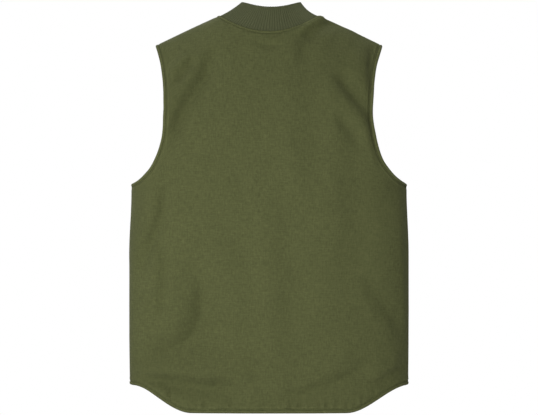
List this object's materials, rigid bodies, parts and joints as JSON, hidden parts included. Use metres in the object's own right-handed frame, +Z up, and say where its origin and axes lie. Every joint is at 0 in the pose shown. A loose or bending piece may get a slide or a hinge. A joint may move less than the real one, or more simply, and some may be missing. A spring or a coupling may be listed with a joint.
{
  "type": "work vest",
  "caption": "Sleeveless canvas work vest in its worn shape, with a rib-knit stand collar, bound armholes, a shirt-tail hem and a zipped front.",
  "frame": {"origin": "midway between the neck ends of the two shoulder seams, where the vest sits on a wearer's shoulders", "axes": "+Z up, +Y towards the wearer's back, +X towards the wearer's left"},
  "size_m": [0.5306, 0.235, 0.7715],
  "materials": {
    "canvas": "firm cotton duck, matte olive green",
    "rib_knit": "rib knit, matte grey olive",
    "zip": "dark brass chain on an olive tape"
  },
  "bodies": {
    "root": {"back_panel": "canvas", "front_panel_left": "canvas", "front_panel_right": "canvas", "collar": "rib_knit", "armhole_binding_left": "canvas", "armhole_binding_right": "canvas", "hem_binding": "canvas", "front_zip": "zip"}
  },
  "joints": []
}
